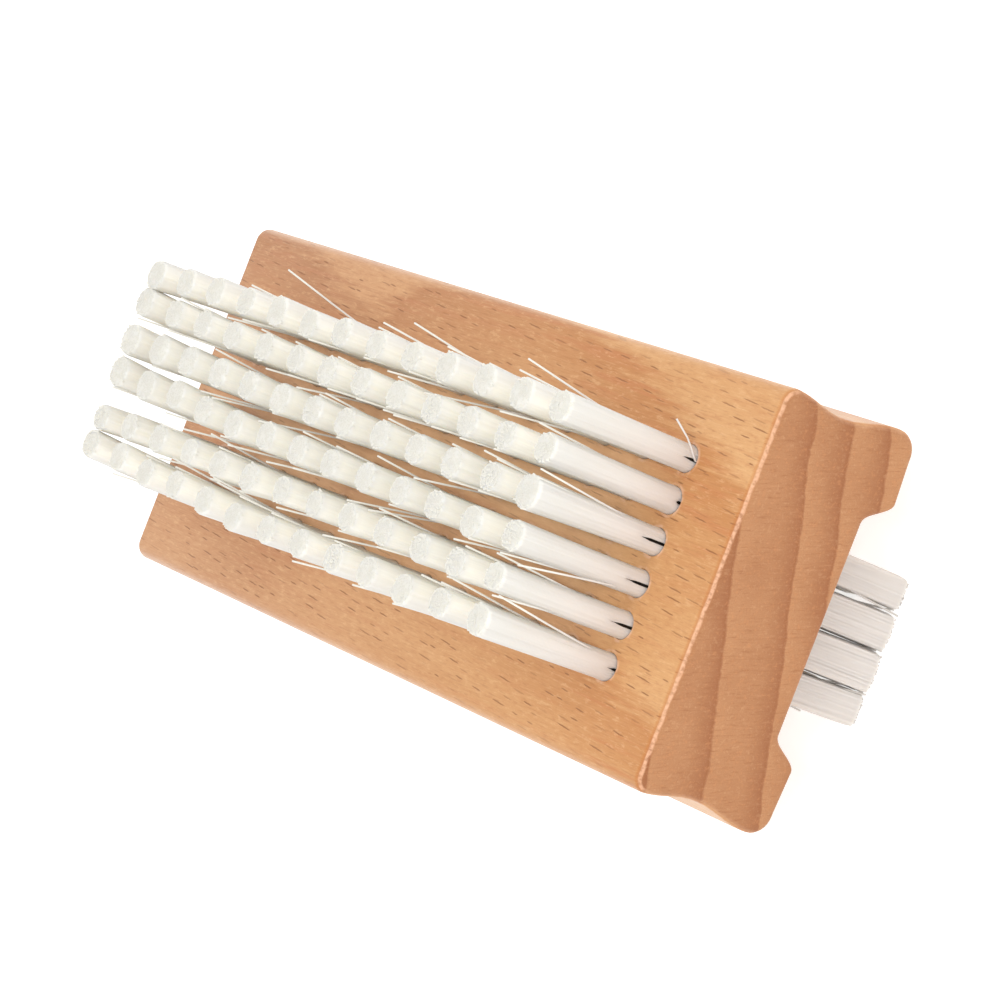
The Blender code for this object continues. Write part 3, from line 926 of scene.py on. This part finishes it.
def make_block_mesh():
    """The section drawn out along X, with its end edges rounded."""
    points = np.array(block_outline())
    ways = outward(points)
    radii = edge_radii(points)
    stations = []
    for i in range(END_STEPS + 1):
        angle = math.pi / 2 * i / END_STEPS
        stations.append((radii * (1 - math.sin(angle)), radii * (1 - math.cos(angle))))
    stations.append((0 * radii, radii + FLAT_MARGIN))
    bm = bmesh.new()
    rings = []
    for side, order in ((-1, list(reversed(stations))), (1, stations)):
        for backs, insets in order:
            ring = []
            for back, (y, z) in zip(backs, points - ways * insets[:, None]):
                ring.append(bm.verts.new((side * (HALF_LENGTH - back) * MM, y * MM, z * MM)))
            rings.append(ring)
    loft_walls(bm, rings)
    bm.faces.new(rings[0])
    bm.faces.new(list(reversed(rings[-1])))
    bmesh.ops.recalc_face_normals(bm, faces=bm.faces[:])
    return mesh_from(bm, "wood_block_look")


def make_hole_cutters():
    """Every drilled hole, blind, with a small chamfer at its mouth."""
    mouth = (CUTTER_OVERRUN, HOLE_RADIUS + HOLE_RIM + CUTTER_OVERRUN)
    profile = [(-HOLE_DEPTH, HOLE_RADIUS), (-HOLE_RIM, HOLE_RADIUS), mouth]
    turns = [2 * math.pi * (i + 0.5) / HOLE_SIDES for i in range(HOLE_SIDES)]
    holes = [(x, y, TOP_Z, 1) for y in row_ys(UPPER_ROWS) for x in TUFT_XS]
    holes += [(x, y, FLOOR_Z, -1) for y in row_ys(LOWER_ROWS) for x in TUFT_XS]
    bm = bmesh.new()
    for x, y, level, way in holes:
        rings = []
        for height, radius in profile:
            ring = []
            for turn in turns:
                px, py = x + radius * math.cos(turn), y + radius * math.sin(turn)
                ring.append(bm.verts.new(Vector((px, py, level + way * height)) * MM))
            rings.append(ring)
        bm.faces.new(rings[0])
        bm.faces.new(rings[-1])
        loft_walls(bm, rings)
    bmesh.ops.recalc_face_normals(bm, faces=bm.faces[:])
    return add_object("holes", mesh_from(bm, "holes"))


def apply_modifiers(item):
    graph = bpy.context.evaluated_depsgraph_get()
    done = bpy.data.meshes.new_from_object(item.evaluated_get(graph))
    item.modifiers.clear()
    item.data = done


def make_block(material):
    block = add_object("beech_block", make_block_mesh(), material)
    cutters = make_hole_cutters()
    drilled = block.modifiers.new("drilled", "BOOLEAN")
    drilled.operation = "DIFFERENCE"
    drilled.solver = "EXACT"
    drilled.object = cutters
    apply_modifiers(block)
    bpy.data.objects.remove(cutters)
    block.data.shade_smooth()
    block.data.set_sharp_from_angle(angle=BLOCK_SMOOTH_ANGLE)
    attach(block, "root")
    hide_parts("wood_block")


# ---- filaments ----


def bundle_places(rng):
    """Where the filaments of one tuft stand in their hole: rings packed side by side."""
    places = []
    radius = BUNDLE_RADIUS
    while radius > 0:
        count = max(1, round(2 * math.pi * radius / FILAMENT_SPACING))
        start = rng.uniform(0, 2 * math.pi)
        for i in range(count):
            angle = start + 2 * math.pi * i / count
            places.append((radius * math.cos(angle), radius * math.sin(angle)))
        radius -= FILAMENT_SPACING
    return np.array(places) + rng.normal(0, PLACE_JITTER, (len(places), 2))


def tubes(lines, radii, tones):
    """Round filaments along lines, an array of (filament, step, xyz), each turned by its tone."""
    count, steps = lines.shape[:2]
    along = np.gradient(lines, axis=1)
    along /= np.linalg.norm(along, axis=2, keepdims=True)
    side = np.cross(np.array([0.0, 1.0, 0.0]), along)
    side /= np.linalg.norm(side, axis=2, keepdims=True)
    other = np.cross(along, side)
    turns = 2 * np.pi * (np.arange(FILAMENT_SIDES)[None, :] / FILAMENT_SIDES + tones[:, None])
    cosines = np.cos(turns)[:, None, :, None]
    sines = np.sin(turns)[:, None, :, None]
    radii = np.broadcast_to(radii, steps)[None, :, None, None]
    out = cosines * side[:, :, None, :] + sines * other[:, :, None, :]
    rings = lines[:, :, None, :] + radii * out
    return rings.reshape(count, steps, FILAMENT_SIDES, 3)


def closed_mesh(name, solids):
    """One mesh of lofted solids, in groups of rings with tones by corner or by solid."""
    verts, walls, caps, shades = [], [], [], []
    base = 0
    for rings, tones in solids:
        count, steps, sides = rings.shape[:3]
        i = np.arange(sides)
        j = (i + 1) % sides
        step = sides * np.arange(steps - 1)[:, None, None]
        wall = (step + np.stack([i, j, j + sides, i + sides], axis=1)).reshape(-1, 4)
        starts = base + np.arange(count)[:, None, None] * steps * sides
        walls += (starts + wall).reshape(-1, 4).tolist()
        caps += (starts[:, 0] + i[::-1]).reshape(-1, sides).tolist()
        caps += (starts[:, 0] + (steps - 1) * sides + i).reshape(-1, sides).tolist()
        verts.append(rings.reshape(-1, 3))
        tones = tones.reshape(tones.shape + (1,) * (3 - tones.ndim))
        shades.append(np.broadcast_to(tones, rings.shape[:3]).ravel())
        base += count * steps * sides
    mesh = bpy.data.meshes.new(name)
    mesh.from_pydata((np.concatenate(verts) * MM).tolist(), [], walls + caps)
    smooth = np.ones(len(mesh.polygons), bool)
    smooth[len(walls):] = False
    mesh.polygons.foreach_set("use_smooth", smooth)
    tone = mesh.attributes.new("tone", "FLOAT", "POINT")
    tone.data.foreach_set("value", np.concatenate(shades).astype(np.float32))
    mesh.update()
    return mesh


def clean_faces(mesh):
    """Weld points that coincide, and turn all faces outwards."""
    bm = bmesh.new()
    bm.from_mesh(mesh)
    bmesh.ops.remove_doubles(bm, verts=bm.verts[:], dist=WELD_DISTANCE)
    bmesh.ops.recalc_face_normals(bm, faces=bm.faces[:])
    bm.to_mesh(mesh)
    bm.free()


def row_lean(number, x):
    far, middle, near = ROW_LEANS[number]
    share = x / TUFT_XS[-1]
    nearing = (near - middle) * max(0, share)
    return middle + nearing + (far - middle) * max(0, -share) ** FAR_LEAN_POWER


class Tuft:
    """How one tuft spreads from its hole to its tips. Its two halves part round the anchor."""

    def __init__(self, x, lean, spread, upper, slit):
        self.x = x
        self.lean = lean
        self.spread = spread
        self.upper = upper
        self.slit_width, self.slit_height = slit

    def parted(self, height):
        """How far apart the halves are, from 1 in the hole to 0 where the slit ends."""
        return max(0.0, 1 - max(height, 0.0) / self.slit_height)

    def at(self, u, v, half, height):
        """Where the point (u, v) of the bundle's round section lies at one height, in x and y."""
        share = max(height, 0.0) / BRISTLE_LENGTH
        parted = self.parted(height)
        gap = self.slit_width / 2 * parted if height > FOLD_TOP else FOLD_GAP
        wall = np.sqrt(np.maximum(BUNDLE_RADIUS ** 2 - u ** 2, LEAST_WALL_SQUARE))
        gap = np.minimum(gap, wall * WIDEST_GAP_SHARE)
        across = half * (gap + np.abs(v) * (wall - gap) / wall)
        if self.upper:
            opened, squared = share ** UPPER_OPENING_POWER, UPPER_SQUARENESS * share
        else:
            quick = 1 - (1 - share) ** LOWER_OPENING_POWER
            opened = LOWER_SLOW_OPENING * share + (1 - LOWER_SLOW_OPENING) * quick
            squared = LOWER_SQUARENESS * min(1.0, LOWER_SQUARING * share)
        longest = np.maximum(np.maximum(np.abs(u), np.abs(v)), LEAST_REACH)
        corner = 1 + squared * (np.hypot(u, v) / longest - 1)
        flare = (1 + (self.spread - 1) * opened) * corner
        narrowing = SLIT_NARROWING * parted * (1 - np.abs(v) / BUNDLE_RADIUS) ** 2
        leaning = share ** LEAN_POWER
        px = self.x + u * (flare - narrowing) + self.lean[0] * leaning
        return px, across * flare + self.lean[1] * leaning


def tip_lines(rng, tuft, ragged):
    """The free ends of one tuft's filaments. Only the last millimetre strays."""
    places = bundle_places(rng) * TIP_BUNDLE_SHARE
    count = len(places)
    u, v = places[:, 0], places[:, 1]
    half = np.where(v >= 0, 1.0, -1.0)
    stray = rng.normal(0, TIP_LOOSENESS, (count, 2))
    stray *= np.where(rng.random(count) < WILD_SHARE, WILD_FACTOR, 1.0)[:, None]
    out = np.hypot(u, v)[:, None]
    rim = np.clip(SPLAY_RIM[0] * out / BUNDLE_RADIUS - SPLAY_RIM[1], 0, 1)
    splayed = rng.random((count, 1)) < SPLAY_SHARE * (ragged > 0)
    splay = np.where(splayed, rng.uniform(*SPLAY_REACH, (count, 1)), 0.0)
    stray += splay * rim * places / np.maximum(out, LEAST_OUT)
    cut = np.minimum(np.abs(rng.normal(0, ragged, count)), LONGEST_CUT * ragged)
    cut += RIM_CUT * ragged * (out[:, 0] / BUNDLE_RADIUS) ** 3
    lines = []
    for height in TIP_HEIGHTS:
        px, py = tuft.at(u, v, half, height)
        pz = np.full(count, height)
        if height == BRISTLE_LENGTH:
            px, py, pz = px + stray[:, 0], py + stray[:, 1], pz - cut
        lines.append(np.stack([px, py, pz], axis=1))
    return np.stack(lines, axis=1)


def packed_rings(rng, tuft):
    """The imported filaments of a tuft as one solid, from foot to head.

    Its rings run round one half and then the other, with the slit as a notch between them.
    """
    turns = np.linspace(0, math.pi, STRANDS + 1)
    side = np.concatenate([turns, [0, 0], turns + math.pi, [0, 0]])
    half = np.repeat([1.0, -1.0, 1.0], [STRANDS + 2, STRANDS + 3, 1])
    notch = np.zeros(len(side))
    notch[[STRANDS + 1, STRANDS + 2]] = -1.0
    notch[[-2, -1]] = 1.0
    flutes = np.where(np.arange(len(side)) % 2, 1.0, -1.0)
    ridges = STRAND_RELIEF * flutes + rng.normal(0, STRAND_RELIEF, len(side))
    ridges[np.abs(np.sin(side)) < SEAM_SINE] = 0.0
    shades = rng.uniform(0, 1, len(side))
    rings, tones = [], []
    for height in PACKED_HEIGHTS:
        parted = tuft.parted(height)
        swollen = ROOT_SWELL * min(1.0, max(0.0, 1 - height))
        radius = PACKED_RADIUS + ridges - HEAD_INSETS.get(height, 0.0) + swollen
        depth = radius * (1 - NOTCH_DEPTH * math.sqrt(parted))
        u = np.where(notch == 0, radius * np.cos(side), notch * depth)
        v = np.where(notch == 0, radius * np.sin(side), 0.0)
        px, py = tuft.at(u, v, half, height)
        rings.append(np.stack([px, py, np.full(len(u), height)], axis=1))
        # Points deep in the fold take FOLD_TONE, where the nylon is painted near black as shade
        tones.append(np.where((notch == 0) | (parted == 0), shades, FOLD_TONE))
    return rings, tones


def stray_lines(y, tips, rng):
    """Single filaments that lean out of a row to the given tips."""
    lines = []
    for tip_x, tip_y in tips:
        nearest = min(TUFT_XS, key=lambda x: abs(x - tip_x))
        root_x = nearest + rng.uniform(-STRAY_ROOT_JITTER, STRAY_ROOT_JITTER)
        root_y = STRAY_ROOT_OUT * math.copysign(1, tip_y - y)
        reach = math.hypot(tip_x - root_x, tip_y - y - root_y)
        top = math.sqrt(BRISTLE_LENGTH ** 2 - min(reach, STRAY_MOST_REACH) ** 2)
        line = []
        for height in STRAY_HEIGHTS:
            share = max(height, 0.0) / BRISTLE_LENGTH
            leaning = share ** STRAY_POWER
            px = root_x + (tip_x - root_x) * leaning
            py = root_y + (tip_y - y - root_y) * leaning
            line.append((px, py, height if height < 0 else share * top))
        lines.append(line)
    return np.array(lines)


def frayed_tips(number, y, rng):
    """Where filaments that lie just outside an upper row end, on both its sides."""
    tips = []
    for x in TUFT_XS:
        for side in (-1, 1):
            if rng.random() < FRAYED_SHARE:
                tip_x = x + rng.normal(0, FRAYED_JITTER)
                tip_y = y + row_lean(number, x) + side * rng.uniform(*FRAYED_REACH)
                tips.append((tip_x, tip_y))
    return tips


def make_tuft(rng, number, up, x):
    jitter = UPPER_LEAN_JITTER if up else LOWER_LEAN_JITTER
    lean = rng.normal(0, jitter, 2)
    lean[1] += row_lean(number, x) if up else LOWER_LEANS[number]
    spread = (UPPER_SPREADS if up else LOWER_SPREADS)[number] + rng.normal(0, SPREAD_JITTER)
    if up:
        spread += FAR_SPREADS[number] * max(0.0, x / TUFT_XS[0]) ** 2
    if up and x == TUFT_XS[-1]:
        slit = NEAR_SLITS[number]
    else:
        slit = (rng.uniform(*SLIT_WIDTHS), rng.uniform(*SLIT_HEIGHTS))
    return Tuft(x, lean, spread, up, slit)


def add_row_piece(name, node, solids, up, y, material):
    turn, shift = ((1, 1, 1), (0, y, TOP_Z)) if up else ((1, -1, -1), (0, y, FLOOR_Z))
    solids = [(rings * turn + shift, tones) for rings, tones in solids]
    piece = add_object(name, closed_mesh(name, solids), material)
    clean_faces(piece.data)
    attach(piece, "root")
    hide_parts(node)


def make_row(name, node, number, y, up, packed_material, tip_material):
    """One row of tufts, as two pieces for its CAD node: packed filaments, and tips and strays."""
    rng = np.random.default_rng(ROW_SEED_STEP * number + (0 if up else LOWER_SEED))
    lines, packed = [], []
    for x in TUFT_XS:
        tuft = make_tuft(rng, number, up, x)
        lines.append(tip_lines(rng, tuft, TIP_RAGGEDNESS if up else 0.0))
        packed.append(packed_rings(rng, tuft))
    packed_solids = tuple(np.array(part) for part in zip(*packed))
    lines = np.concatenate(lines)
    tones = rng.uniform(0, 1, len(lines))
    tips = tubes(lines, TIP_RADII, tones)
    if up:
        stray_tips = [*UPPER_STRAYS[number], *frayed_tips(number, y, rng)]
    else:
        tips[:, -1, :, 2] = FLOOR_Z
        stray_tips = [(tip_x, 2 * y - tip_y) for tip_x, tip_y in LOWER_STRAYS[number]]
    strays = [stray_lines(y, stray_tips, rng)]
    if up and number in BENT_STRAYS:
        strays.append(np.array([BENT_STRAYS[number]]) - (0, y, 0))
    loose = [(tips, tones)]
    for stray in strays:
        plain = np.zeros(len(stray))
        loose.append((tubes(stray, FILAMENT_RADIUS, plain), plain))
    add_row_piece(name, node, [packed_solids], up, y, packed_material)
    add_row_piece(f"{name}_tips", node, loose, up, y, tip_material)


# ---- anchors ----


def make_anchor_row(name, node, y, level, way, material):
    """A row's anchors: one short piece of flat wire, on edge, in the fold of each tuft."""
    bm = bmesh.new()
    middle = level - way * (HOLE_DEPTH - ANCHOR_FOOT - ANCHOR_SIZE[2] / 2)
    size = Matrix.Diagonal((*(Vector(ANCHOR_SIZE) * MM), 1.0))
    for x in TUFT_XS:
        place = Matrix.Translation(Vector((x, y, middle)) * MM)
        bmesh.ops.create_cube(bm, size=1, matrix=place @ size)
    edge, steps = ANCHOR_EDGE * MM, ANCHOR_EDGE_STEPS
    bmesh.ops.bevel(bm, geom=bm.edges[:], offset=edge, segments=steps, affect="EDGES")
    mesh = mesh_from(bm, name)
    mesh.shade_smooth()
    mesh.set_sharp_from_angle(angle=ANCHOR_SMOOTH_ANGLE)
    anchors = add_object(name, mesh, material)
    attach(anchors, "root")
    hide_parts(node)


# ---- stage ----


def look_at(item, place, aim, roll=0.0):
    back = (Vector(place) - Vector(aim)).normalized()
    right = Vector((0, 0, 1)).cross(back).normalized()
    up = back.cross(right)
    turn = Matrix((right, up, back)).transposed() @ Matrix.Rotation(math.radians(roll), 3, "Z")
    item.matrix_world = Matrix.Translation(place) @ turn.to_4x4()


def make_camera():
    lens = bpy.data.cameras.new("camera")
    lens.lens = CAMERA_LENS
    lens.sensor_width = CAMERA_SENSOR
    lens.clip_start, lens.clip_end = CAMERA_CLIP
    camera = add_object("camera", lens)
    look_at(camera, CAMERA_PLACE, CAMERA_AIM, CAMERA_ROLL)
    bpy.context.scene.camera = camera


def make_key_light():
    lamp = bpy.data.lights.new("key", "AREA")
    lamp.shape = "RECTANGLE"
    lamp.size, lamp.size_y = KEY_SIZE
    lamp.energy = KEY_WATTS
    look_at(add_object("key", lamp), KEY_PLACE, KEY_AIM)


def make_stage():
    bm = bmesh.new()
    bmesh.ops.create_grid(bm, x_segments=FLOOR_CELLS, y_segments=FLOOR_CELLS, size=FLOOR_REACH)
    mesh = mesh_from(bm, "floor")
    add_object("floor", mesh, make_floor_material())
    world = bpy.data.worlds.new("studio")
    world.use_nodes = True
    sky = world.node_tree.nodes["Background"]
    sky.inputs["Color"].default_value = SKY_COLOUR
    sky.inputs["Strength"].default_value = SKY_STRENGTH
    bpy.context.scene.world = world
    bpy.context.scene.view_settings.view_transform = "Standard"
    make_key_light()


def main():
    make_camera()
    make_stage()
    beech = make_beech()
    nylons = [make_nylon(name) for name in NYLON_LOOKS]
    steel = make_steel()
    make_block(beech)
    sides = (("upper", UPPER_ROWS, TOP_Z, nylons[:2]), ("lower", LOWER_ROWS, FLOOR_Z, nylons[2:]))
    for side, rows, level, nylon in sides:
        up = side == "upper"
        for i, y in enumerate(row_ys(rows), start=1):
            make_row(f"{side}_tufts_{i}", f"{side}_bristle_row_{i}", i, y, up, *nylon)
            anchors, node = f"{side}_anchors_{i}", f"{side}_anchor_row_{i}"
            make_anchor_row(anchors, node, y, level, 1 if up else -1, steel)


main()
